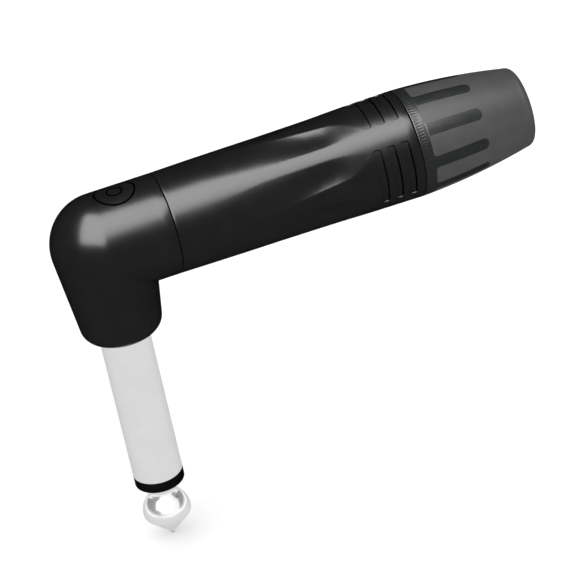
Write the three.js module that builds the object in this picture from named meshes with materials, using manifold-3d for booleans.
// A right-angle 6.35 mm (quarter-inch) two-pole phone plug, in millimetres.
// The origin is the middle of the head's seating face. The plug finger points down, along -Z.
// The barrel runs along +X from the elbow, past the shell, to the cable hole in the end of the boot.
import * as THREE from "three";
import { mergeVertices } from "three/addons/utils/BufferGeometryUtils.js";
import Module from "manifold-3d";

const wasm = await Module();
wasm.setup();

// ---- Driving dimensions ----

// Plug finger, along Z
const FINGER_R = 3.175;
const FINGER_LENGTH = 30.94;
const SLEEVE_LENGTH = 21.12;
const TIP_RING_HEIGHT = 1.41;
const BALL_R = 3.08;
const BALL_Z = -27.3;
const NECK_R = 1.85;
const ROD_R = 1.15;

// Head, shell and boot, along X
const AXIS_Z = 12.42; // barrel axis above the seating face
const HEAD_R = 6.37;
const HEAD_END_X = 8.1;
const SHELL_END_X = 39.5;
const SHELL_END_R = 6.79;
const BOOT_END_X = 55;
const BOOT_END_R = 5.1; // where the round of the end starts
const CABLE_HOLE_R = 3.6;
const SEAM = 0.12; // open line between two casings

// Thumb pads of the shell, one on each quarter: a grooved tongue between two shallow hollows
const PAD_HALF_ANGLE = 32.5; // degrees
// Each hollow's depth and its inner and outer edges in degrees from the pad's centre line, along X
const HOLLOW = [
  { x: 13, depth: 0, inner: 0, outer: 32 },
  { x: 20, depth: 0.13, inner: 0, outer: 38 },
  { x: 24, depth: 0.26, inner: 6, outer: 38 },
  { x: 26.5, depth: 0.33, inner: 9, outer: 38 },
  { x: 28.5, depth: 0.29, inner: 11, outer: 38 },
  { x: 30, depth: 0.16, inner: 12, outer: 37 },
  { x: 31, depth: 0.07, inner: 15, outer: 36 },
  { x: 32.2, depth: 0.02, inner: 21, outer: 34 },
  { x: 33.4, depth: 0, inner: 31, outer: PAD_HALF_ANGLE },
];
const GROOVE_X = [33.66, 35.46, 37.26];
const GROOVE_WIDTH = 1.02;
const GROOVE_DEPTH = 0.3;

// Fingers of the boot's bush
const FINGERS = 10;
const FINGER_WIDTH = 1.5;
const FRONT_RING = 1.4; // length of the plain ring before the windows
const FINGER_END_X = 48.25;

// Bores and clearances
const CLEAR = 0.1;
const SHELL_BORE_R = 5.55;
const HEAD_BORE_R = 4.45;
const SLEEVE_BORE_R = 2.05;
const STRIP = 0.4; // thickness of the brass strip

// Screw thread between the carrier and the boot
const PITCH = 1;
const THREAD_R = 5.05;
const THREAD_ROOT_R = 4.75;
const THREAD_TURNS = 5;

const ROUND = 40; // facets of the outer casings
const SMALL_ROUND = 24; // facets of the inner pieces

// ---- Materials ----

function finish(color, roughness, metalness) {
  return new THREE.MeshStandardMaterial({ color, roughness, metalness });
}
const SATIN_BLACK = finish(0x1c1c1d, 0.38, 0.3);
const NICKEL = finish(0xd8d8d6, 0.18, 1);
const BLACK_PLASTIC = finish(0x0c0c0c, 0.35, 0);
const DARK_PLASTIC = finish(0x272b29, 0.28, 0);
const SOFT_GREY = finish(0x50504e, 0.6, 0);
const WHITE_PLASTIC = finish(0xd9d6cc, 0.5, 0);
const BRASS = finish(0xc9a227, 0.3, 1);

// ---- Shapes ----

// A three.js geometry as a manifold-3d solid.
function solid(geometry) {
  geometry.deleteAttribute("normal");
  geometry.deleteAttribute("uv");
  const merged = mergeVertices(geometry, 1e-4);
  const corners = merged.index.array;
  const triVerts = [];
  for (let i = 0; i < corners.length; i += 3) {
    const [a, b, c] = corners.slice(i, i + 3);
    if (a !== b && b !== c && c !== a) triVerts.push(a, b, c);
  }
  return new wasm.Manifold(
    new wasm.Mesh({
      numProp: 3,
      vertProperties: merged.attributes.position.array,
      triVerts: new Uint32Array(triVerts),
    }),
  );
}

// A named mesh from a manifold-3d solid.
function piece(name, shape, material) {
  const { vertProperties, triVerts } = shape.getMesh();
  const geometry = new THREE.BufferGeometry();
  geometry.setAttribute("position", new THREE.BufferAttribute(vertProperties, 3));
  geometry.setIndex(new THREE.BufferAttribute(triVerts, 1));
  geometry.computeVertexNormals();
  const mesh = new THREE.Mesh(geometry, material);
  mesh.name = name;
  return mesh;
}

// The profile [radius, height] turned about Z. It runs anticlockwise and closes on itself or on the axis.
function turnedZ(profile, facets = SMALL_ROUND) {
  const closed = profile[0][0] > 0 ? [...profile, profile[0]] : profile;
  const points = closed.map(([r, h]) => new THREE.Vector2(r, h));
  return solid(new THREE.LatheGeometry(points, facets).rotateX(Math.PI / 2));
}

// The profile [radius, x] turned about the barrel axis.
function turnedX(profile, facets = SMALL_ROUND) {
  const closed = profile[0][0] > 0 ? [...profile, profile[0]] : profile;
  const points = closed.map(([r, x]) => new THREE.Vector2(r, x));
  const geometry = new THREE.LatheGeometry(points, facets).rotateZ(-Math.PI / 2);
  return solid(geometry.translate(0, 0, AXIS_Z));
}

// A straight tube or, without a bore, a rod.
function tube(from, to, outer, bore = 0) {
  return [
    [bore, from],
    [outer, from],
    [outer, to],
    [bore, to],
  ];
}

function box([x0, x1], [y0, y1], [z0, z1]) {
  const geometry = new THREE.BoxGeometry(x1 - x0, y1 - y0, z1 - z0);
  return solid(geometry.translate((x0 + x1) / 2, (y0 + y1) / 2, (z0 + z1) / 2));
}

// Points of an arc about (cr, ch), from one angle to another in degrees, 0 along +r and 90 along +h.
function arc(cr, ch, radius, from, to, steps) {
  return Array.from({ length: steps + 1 }, (_, i) => {
    const a = THREE.MathUtils.degToRad(from + ((to - from) * i) / steps);
    return [cr + radius * Math.cos(a), ch + radius * Math.sin(a)];
  });
}

function union(...shapes) {
  return shapes.reduce((whole, shape) => whole.add(shape));
}

function cut(shape, ...tools) {
  return tools.reduce((rest, tool) => rest.subtract(tool), shape);
}

// A solid round the barrel axis, given by its radius at each of the stations x and angles (degrees from -Y).
function radialSkin(stations, angles, radiusAt) {
  const positions = [];
  const faces = [];
  const columns = angles.length;
  for (const x of stations)
    for (const angle of angles) {
      const a = THREE.MathUtils.degToRad(angle);
      const r = radiusAt(x, angle);
      positions.push(x, -r * Math.cos(a), AXIS_Z + r * Math.sin(a));
    }
  const first = stations[0];
  const last = stations.at(-1);
  const hub = positions.length / 3;
  positions.push(first, 0, AXIS_Z, last, 0, AXIS_Z);
  const lastRow = (stations.length - 1) * columns;
  for (let k = 0; k < columns; k++) {
    const next = (k + 1) % columns;
    for (let row = 0; row < lastRow; row += columns) {
      const [a, b] = [row + k, row + next];
      faces.push(a, a + columns, b, b, a + columns, b + columns);
    }
    faces.push(hub, k, next, hub + 1, lastRow + next, lastRow + k);
  }
  const geometry = new THREE.BufferGeometry();
  geometry.setAttribute("position", new THREE.Float32BufferAttribute(positions, 3));
  geometry.setIndex(faces);
  return solid(geometry);
}

// ---- Outer surface of the barrel ----

function shellR(x) {
  return HEAD_R + ((SHELL_END_R - HEAD_R) * (x - HEAD_END_X)) / (SHELL_END_X - HEAD_END_X);
}

// The boot bows in from the end of the shell, at first gently.
const BOOT_ROUND = 0.94; // radius of the round at the cable end
function bootR(x) {
  const along = (x - SHELL_END_X) / (BOOT_END_X - BOOT_ROUND - SHELL_END_X);
  return SHELL_END_R - (SHELL_END_R - BOOT_END_R) * (0.24 * along + 0.76 * along * along);
}

// The hollows' depth and edges at x, or null outside them.
function hollowAt(x) {
  const next = HOLLOW.findIndex((station) => station.x > x);
  if (next < 1) return null;
  const [a, b] = [HOLLOW[next - 1], HOLLOW[next]];
  const t = (x - a.x) / (b.x - a.x);
  const between = (key) => THREE.MathUtils.lerp(a[key], b[key], t);
  return { depth: between("depth"), inner: between("inner"), outer: between("outer") };
}

// How far the hollows and grooves lie below the round barrel.
function recessDepth(x, angle) {
  const off = Math.abs(angle - 90 * Math.round(angle / 90));
  const hollow = hollowAt(x);
  if (hollow) {
    const across = (off - hollow.inner) / (hollow.outer - hollow.inner);
    return across > 0 && across < 1 ? hollow.depth * Math.sin(Math.PI * across ** 0.8) : 0;
  }
  const inGroove = GROOVE_X.some((g) => x > g && x < g + GROOVE_WIDTH);
  return inGroove && off < PAD_HALF_ANGLE ? GROOVE_DEPTH : 0;
}

// ---- Pieces of the finger ----

function plugSleeve() {
  const flange = [5.3, 6.1];
  return turnedZ(
    [
      [SLEEVE_BORE_R, -SLEEVE_LENGTH],
      [FINGER_R, -SLEEVE_LENGTH],
      [FINGER_R, flange[0]],
      [3.95, flange[0]],
      [3.95, flange[1]],
      [SLEEVE_BORE_R, flange[1]],
    ],
    ROUND,
  );
}

const RING_BOTTOM = -SLEEVE_LENGTH - TIP_RING_HEIGHT;

function tipInsulator() {
  const step = -SLEEVE_LENGTH - 0.02;
  const spigot = SLEEVE_BORE_R - CLEAR;
  return turnedZ(
    [
      [ROD_R + CLEAR, RING_BOTTOM],
      [FINGER_R, RING_BOTTOM],
      [FINGER_R, step],
      [spigot, step],
      [spigot, step + 2.1],
      [ROD_R + CLEAR, step + 2.1],
    ],
    ROUND,
  );
}

function tipContact() {
  const neckAngle = THREE.MathUtils.radToDeg(Math.acos(NECK_R / BALL_R));
  const collar = RING_BOTTOM - 0.04;
  return turnedZ(
    [
      [0, -FINGER_LENGTH],
      [0.1, -FINGER_LENGTH + 0.05],
      [2.93, -FINGER_LENGTH + 3.2],
      ...arc(0, BALL_Z, BALL_R, 0, neckAngle, 6),
      [NECK_R - 0.35, BALL_Z + 3.2],
      [NECK_R - 0.25, collar - 0.5],
      [NECK_R + 0.15, collar - 0.25],
      [NECK_R + 0.15, collar],
      [ROD_R, collar],
      [ROD_R, 8.7],
      [ROD_R - 0.2, 8.9],
      [0, 8.9],
    ],
    ROUND,
  );
}

function rodInsulator() {
  return turnedZ(tube(-18.9, 6.05, SLEEVE_BORE_R - CLEAR, ROD_R + CLEAR));
}

function sleeveLockRing() {
  return turnedZ(tube(6.15, 7, 4.22, 3.2));
}

function insulatingWasher() {
  return turnedZ(tube(6.15, 7.15, 3.1, ROD_R + CLEAR));
}

function retainingWasher() {
  return turnedZ(tube(7.75, 8.15, 1.9, ROD_R + 0.05));
}

// ---- Head ----

function angleHead() {
  const cone = [4.98, 0.1145]; // radius at the seating face and its growth per mm up
  const tangent = THREE.MathUtils.radToDeg(Math.atan(cone[1]));
  const corner = 1.35; // round of the lower edge
  const elbow = turnedZ(
    [
      [0, 0],
      ...arc(cone[0] + 0.1 - corner, corner, corner, -90, -tangent, 4),
      ...arc(0, AXIS_Z, HEAD_R, -tangent, 90, 9),
    ],
    ROUND,
  );
  const stub = turnedX(tube(0, HEAD_END_X - SEAM / 2, HEAD_R), ROUND);
  const spigotEnd = 12.1;
  const spigot = turnedX(tube(HEAD_END_X - 1, spigotEnd, SHELL_BORE_R - 0.15), ROUND);
  return cut(
    union(elbow, stub, spigot),
    turnedZ(tube(-1, 6, FINGER_R + 0.08), ROUND),
    turnedZ(tube(5.2, AXIS_Z, 4.3)),
    turnedX(tube(-3, spigotEnd + 1, HEAD_BORE_R)),
    box([HEAD_END_X + SEAM, spigotEnd + 1], [-0.6, 0.6], [AXIS_Z + 4.95, AXIS_Z + 7]),
  );
}

// ---- Shell ----

function barrelShell() {
  const eps = 0.01;
  const from = HEAD_END_X + SEAM / 2;
  const to = SHELL_END_X - SEAM / 2;
  const grooves = GROOVE_X.flatMap((g) => [g - eps, g + eps, g + GROOVE_WIDTH - eps, g + GROOVE_WIDTH + eps]);
  const stations = [from, ...HOLLOW.map((station) => station.x), ...grooves, to];
  const wall = 0.3; // degrees either side of a groove's end
  const half = [5, 11, 16, 21, 26, PAD_HALF_ANGLE - wall, PAD_HALF_ANGLE + wall, 38];
  const quarter = [...half.map((a) => -a).reverse(), 0, ...half, 45];
  const angles = [0, 90, 180, 270].flatMap((q) => quarter.map((a) => q + a));
  const outer = radialSkin(stations, angles, (x, angle) => shellR(x) - recessDepth(x, angle));
  const bore = turnedX(tube(from - 1, to + 1, SHELL_BORE_R), ROUND);
  const key = box([from + 0.3, 11.5], [-0.5, 0.5], [AXIS_Z + 5.05, AXIS_Z + SHELL_BORE_R + 0.3]);
  return union(cut(outer, bore), key);
}

// ---- Carrier and terminals ----

const CARRIER_PLUG = [6, 13.6]; // stretch of the carrier from the head's bore to the end of its flange
const TIP_STRIP_Z = 13.2;
const GROUND_STRIP_Z = 9;
const CUP_X = [16.9, 21];
const RIVET_X = 15.2;
const CARRIER_R = SHELL_BORE_R - 0.25;
const THREAD_X = [39.9, 45.3];

// The thread's ridge, swept along its helix and sunk into the core at both ends.
function threadRidge() {
  const steps = SMALL_ROUND * THREAD_TURNS;
  const positions = [];
  const faces = [];
  const section = [
    [-0.42, THREAD_ROOT_R - 0.15],
    [-0.1, THREAD_R],
    [0.1, THREAD_R],
    [0.42, THREAD_ROOT_R - 0.15],
  ];
  const corners = section.length;
  for (let i = 0; i <= steps; i++) {
    const turn = (i / steps) * THREAD_TURNS * 2 * Math.PI;
    const fade = Math.min(1, (2 * i) / SMALL_ROUND, (2 * (steps - i)) / SMALL_ROUND);
    const x = THREAD_X[0] + 0.2 + (PITCH * turn) / (2 * Math.PI);
    for (const [along, r] of section) {
      const ridge = THREAD_ROOT_R - 0.15 + (r - THREAD_ROOT_R + 0.15) * fade - 0.01 * (1 - fade);
      positions.push(x + along, -ridge * Math.sin(turn), AXIS_Z + ridge * Math.cos(turn));
    }
  }
  for (let i = 0; i < steps; i++)
    for (let k = 0; k < corners; k++) {
      const a = i * corners + k;
      const b = i * corners + ((k + 1) % corners);
      faces.push(a, a + corners, b, b, a + corners, b + corners);
    }
  const end = steps * corners;
  faces.push(0, 1, 2, 0, 2, 3, end, end + 2, end + 1, end, end + 3, end + 2);
  const geometry = new THREE.BufferGeometry();
  geometry.setAttribute("position", new THREE.Float32BufferAttribute(positions, 3));
  geometry.setIndex(faces);
  return solid(geometry);
}

function terminalCarrier() {
  const [plugFrom, plugTo] = CARRIER_PLUG;
  const troughTo = 34;
  const chuckBore = 4.3;
  const plug = turnedX(tube(plugFrom, plugTo, HEAD_BORE_R - CLEAR));
  const flange = turnedX(tube(12.3, plugTo, CARRIER_R));
  const trough = cut(
    turnedX(tube(plugTo - 0.5, troughTo + 0.5, CARRIER_R, 4.6)),
    box([plugTo - 0.4, troughTo], [-7, 7], [AXIS_Z - 0.8, AXIS_Z + 7]),
  );
  const boss = box([plugTo - 0.5, 16.5], [-1.6, 1.6], [AXIS_Z - 4.9, GROUND_STRIP_Z - 0.05]);
  const collar = turnedX(tube(troughTo, SHELL_END_X - 0.3, CARRIER_R, chuckBore));
  const core = turnedX(tube(SHELL_END_X - 0.5, THREAD_X[1], THREAD_ROOT_R, chuckBore));
  const slots = [
    box([plugFrom - 1, plugTo + 1], [-1.4, 1.4], [TIP_STRIP_Z - CLEAR, TIP_STRIP_Z + STRIP + CLEAR]),
    box([plugFrom - 1, plugTo + 0.1], [-1.3, 1.3], [GROUND_STRIP_Z - CLEAR, GROUND_STRIP_Z + STRIP + CLEAR]),
  ];
  const rivetHole = turnedZ(tube(GROUND_STRIP_Z - 0.9, GROUND_STRIP_Z + 1, 0.6)).translate([RIVET_X, 0, 0]);
  return cut(union(plug, flange, trough, boss, collar, core, threadRidge()), ...slots, rivetHole);
}

// A half-round cup, open at the top, on the end of a strip whose underside is at z.
function solderCup(z) {
  const outer = 1.3;
  const ring = turnedX(tube(CUP_X[0], CUP_X[1], outer, outer - STRIP)).translate([0, 0, z + outer - AXIS_Z]);
  return cut(ring, box([CUP_X[0] - 1, CUP_X[1] + 1], [-2, 2], [z + outer, z + 3]));
}

function strip(xs, width, zs) {
  return box(xs, [-width / 2, width / 2], zs);
}

function tipTerminal() {
  const eye = [7.25, 7.25 + STRIP];
  const riserX = [2.8, 2.8 + STRIP];
  const level = [TIP_STRIP_Z, TIP_STRIP_Z + STRIP];
  return cut(
    union(
      turnedZ(tube(eye[0], eye[1], 2.1)),
      strip([0, riserX[1]], 2.6, eye),
      strip(riserX, 2.6, [eye[0], level[1]]),
      strip([riserX[0], CUP_X[0] + 0.2], 2.6, level),
      solderCup(TIP_STRIP_Z),
    ),
    turnedZ(tube(7, 8, ROD_R + CLEAR)),
  );
}

function groundTerminal() {
  const level = [GROUND_STRIP_Z, GROUND_STRIP_Z + STRIP];
  const foot = [4.7, 4.7 + STRIP];
  const hole = turnedZ(tube(GROUND_STRIP_Z - 1, GROUND_STRIP_Z + 1, 0.6)).translate([RIVET_X, 0, 0]);
  return cut(
    union(
      strip(foot, 2.2, [8.25, level[1]]),
      strip([foot[0], CUP_X[0] + 0.2], 2.2, level),
      solderCup(GROUND_STRIP_Z),
    ),
    hole,
  );
}

function terminalRivet() {
  const top = GROUND_STRIP_Z + STRIP + 0.05;
  return turnedZ([
    [0, GROUND_STRIP_Z - 0.8],
    [0.5, GROUND_STRIP_Z - 0.8],
    [0.5, top],
    [1, top],
    [0.85, top + 0.35],
    [0, top + 0.45],
  ]).translate([RIVET_X, 0, 0]);
}

// ---- Chuck and boot ----

const CONE_X = [46, 51.05]; // squeezing cone inside the boot
const CONE_R = [5.35, 3.75];

function coneR(x) {
  return CONE_R[0] + ((CONE_R[1] - CONE_R[0]) * (x - CONE_X[0])) / (CONE_X[1] - CONE_X[0]);
}

function chuck() {
  const [from, shoulder, to] = [41.2, 45.65, 49.9];
  const bore = 3.5;
  const gap = 0.18;
  const teeth = [48.6, 47.4, 46.2].flatMap((x) => [
    [bore, x + 0.6],
    [bore - 0.2, x + 0.3],
    [bore, x],
  ]);
  const body = turnedX([
    [bore, from],
    [4.15, from],
    [4.15, shoulder],
    [coneR(46.3) - gap, shoulder],
    [coneR(46.3) - gap, 46.3],
    [coneR(to) - gap, to],
    [bore, to],
    ...teeth,
  ]);
  const slots = [
    box([44.4, to + 1], [-0.4, 0.4], [AXIS_Z - 7, AXIS_Z + 7]),
    box([44.4, to + 1], [-7, 7], [AXIS_Z - 0.4, AXIS_Z + 0.4]),
  ];
  return cut(body, ...slots);
}

const BOOT_FROM = SHELL_END_X + SEAM / 2;
const WINDOW_FROM = SHELL_END_X + FRONT_RING;
const UNDER_R = 5.95; // the bush under the soft moulding

function bootProfile(from, to, steps) {
  return Array.from({ length: steps + 1 }, (_, i) => {
    const x = from + ((to - from) * i) / steps;
    return [bootR(x), x];
  });
}

// The fingers of the bush, wider all round by `extra`, between the bush and the outer surface.
function bushFingers(extra) {
  const half = FINGER_WIDTH / 2 + extra;
  const outline = new THREE.Shape();
  outline.moveTo(WINDOW_FROM - 0.2, -half);
  outline.lineTo(FINGER_END_X - FINGER_WIDTH / 2, -half);
  outline.absarc(FINGER_END_X - FINGER_WIDTH / 2, 0, half, -Math.PI / 2, Math.PI / 2);
  outline.lineTo(WINDOW_FROM - 0.2, half);
  outline.closePath();
  const bar = new THREE.ExtrudeGeometry(outline, { depth: 3, bevelEnabled: false, curveSegments: 5 });
  const blank = solid(bar.translate(0, 0, UNDER_R - 1));
  const end = FINGER_END_X + 1;
  const [inner, spread] = extra ? [UNDER_R - 0.5, 1] : [UNDER_R - 0.2, 0];
  const outer = bootProfile(WINDOW_FROM - 0.3, end, 4).map(([r, x]) => [r + spread, x]);
  const band = turnedX([[inner, WINDOW_FROM - 0.3], ...outer, [inner, end]], ROUND);
  const bars = Array.from({ length: FINGERS }, (_, i) =>
    blank.rotate([90 + (360 / FINGERS) * i, 0, 0]).translate([0, 0, AXIS_Z]),
  );
  return union(...bars).intersect(band);
}

function bootBushing() {
  const body = turnedX(
    [
      [CONE_R[0], BOOT_FROM],
      ...bootProfile(BOOT_FROM, WINDOW_FROM, 2),
      [UNDER_R, WINDOW_FROM],
      [UNDER_R, 47],
      [4.5, CONE_X[1]],
      [CONE_R[1], CONE_X[1]],
      [CONE_R[0], CONE_X[0]],
    ],
    ROUND,
  );
  return union(body, bushFingers(0));
}

function bootSleeve() {
  const gap = 0.06;
  const body = turnedX(
    [
      [UNDER_R + CLEAR, WINDOW_FROM + gap],
      ...bootProfile(WINDOW_FROM + gap, BOOT_END_X - BOOT_ROUND, 6),
      ...arc(BOOT_END_R - BOOT_ROUND, BOOT_END_X - BOOT_ROUND, BOOT_ROUND, 12, 90, 4),
      [CABLE_HOLE_R, BOOT_END_X],
      [CABLE_HOLE_R, CONE_X[1] + CLEAR],
      [4.5 + CLEAR, CONE_X[1] + CLEAR],
      [UNDER_R + CLEAR, 47 + CLEAR],
    ],
    ROUND,
  );
  return cut(body, bushFingers(gap));
}

// ---- Assembly ----

const head = new THREE.Group();
head.add(
  piece("angle_head", angleHead(), SATIN_BLACK),
  piece("barrel_shell", barrelShell(), SATIN_BLACK),
  piece("terminal_carrier", terminalCarrier(), BLACK_PLASTIC),
  piece("tip_terminal", tipTerminal(), BRASS),
  piece("ground_terminal", groundTerminal(), BRASS),
  piece("terminal_rivet", terminalRivet(), BRASS),
);

const finger = new THREE.Group();
finger.add(
  piece("plug_sleeve", plugSleeve(), NICKEL),
  piece("tip_insulator", tipInsulator(), BLACK_PLASTIC),
  piece("tip_contact", tipContact(), NICKEL),
  piece("rod_insulator", rodInsulator(), WHITE_PLASTIC),
  piece("sleeve_lock_ring", sleeveLockRing(), NICKEL),
  piece("insulating_washer", insulatingWasher(), WHITE_PLASTIC),
  piece("retaining_washer", retainingWasher(), BRASS),
);

const clamp = new THREE.Group();
clamp.add(piece("chuck", chuck(), WHITE_PLASTIC));

const boot = new THREE.Group();
boot.add(
  piece("boot_bushing", bootBushing(), DARK_PLASTIC),
  piece("boot_sleeve", bootSleeve(), SOFT_GREY),
);

const phonePlug = new THREE.Group();
phonePlug.add(head, finger, clamp, boot);

export default phonePlug;
